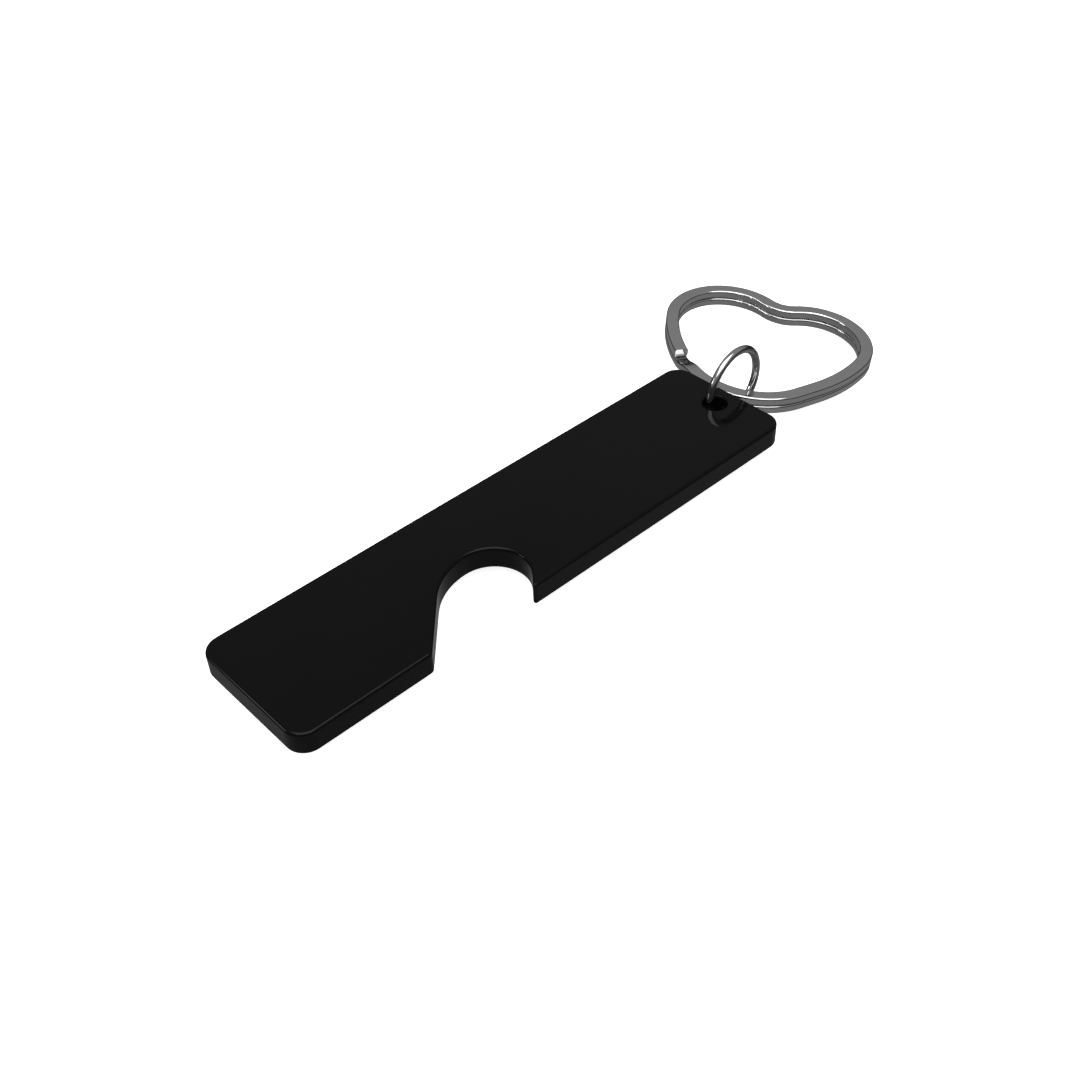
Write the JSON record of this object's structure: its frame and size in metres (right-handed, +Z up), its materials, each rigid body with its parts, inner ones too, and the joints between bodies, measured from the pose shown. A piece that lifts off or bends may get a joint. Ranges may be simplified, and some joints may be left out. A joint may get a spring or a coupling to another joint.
{
  "type": "keychain bottle opener",
  "caption": "Flat bar bottle opener with a cap notch in one long edge, held by a round jump ring on a heart shaped split key ring.",
  "frame": {"origin": "centre of the cap notch's round, on the bar's underside", "axes": "+X along the bar towards the ring end, +Y across the bar from the notched long edge to the plain one, +Z up through its thickness"},
  "size_m": [0.1124, 0.0334, 0.012],
  "materials": {
    "black_bar": "gloss black coating",
    "ring_wire": "polished nickel plate",
    "ring_strip": "polished nickel plate"
  },
  "bodies": {
    "opener": {"opener_body": "black_bar"},
    "jump_ring": {"jump_ring": "ring_wire"},
    "heart_ring": {"heart_key_ring": "ring_strip"}
  },
  "joints": [
    {"name": "jump_ring_swing", "type": "hinge", "parent": "opener", "child": "jump_ring", "pos_m": [0.05, 0.00533, 0.003], "axis": [-0.0663, 0.9978, 0], "range_deg": [-25, 4]},
    {"name": "heart_ring_slide_round", "type": "hinge", "parent": "jump_ring", "child": "heart_ring", "pos_m": [0.051, 0.0054, 0.0036], "axis": [0.0663, -0.9978, 0], "range_deg": [0, 150]}
  ]
}
